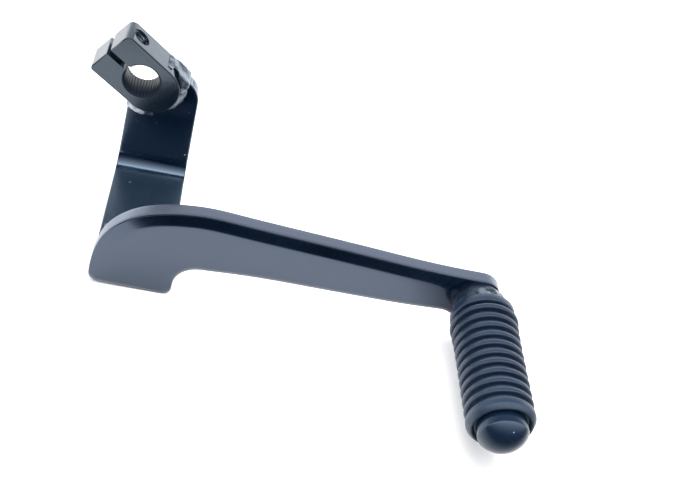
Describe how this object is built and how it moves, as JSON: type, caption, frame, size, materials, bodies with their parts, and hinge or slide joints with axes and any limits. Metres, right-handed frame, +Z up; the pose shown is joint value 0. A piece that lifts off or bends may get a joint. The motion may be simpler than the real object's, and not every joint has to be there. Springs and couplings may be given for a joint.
{
  "type": "gear shift lever",
  "caption": "Motorcycle gear shift lever with a splined clamp hub, an offset strap, a flat arm and a ribbed rubber pedal.",
  "frame": {"origin": "centre of the splined bore on the hub's outer face, the face turned away from the engine", "axes": "+Y along the bore towards the engine, +Z up, +X forward towards the pedal"},
  "size_m": [0.1485, 0.1058, 0.0701],
  "materials": {
    "hub_steel": "satin",
    "black_steel": "gloss",
    "peg_steel": "satin",
    "pedal_rubber": "matt",
    "painted_weld": "satin",
    "bare_weld": "rough"
  },
  "bodies": {
    "root": {"clamp_hub": "hub_steel", "offset_strap": "black_steel", "arm_plate": "black_steel", "pedal_peg": "peg_steel", "pedal_rubber": "pedal_rubber", "peg_weld": "painted_weld", "hub_rear_weld": "painted_weld", "hub_lower_weld": "bare_weld", "hub_upper_weld": "painted_weld", "strap_arm_upper_weld": "painted_weld", "strap_arm_lower_weld": "painted_weld"}
  },
  "joints": []
}
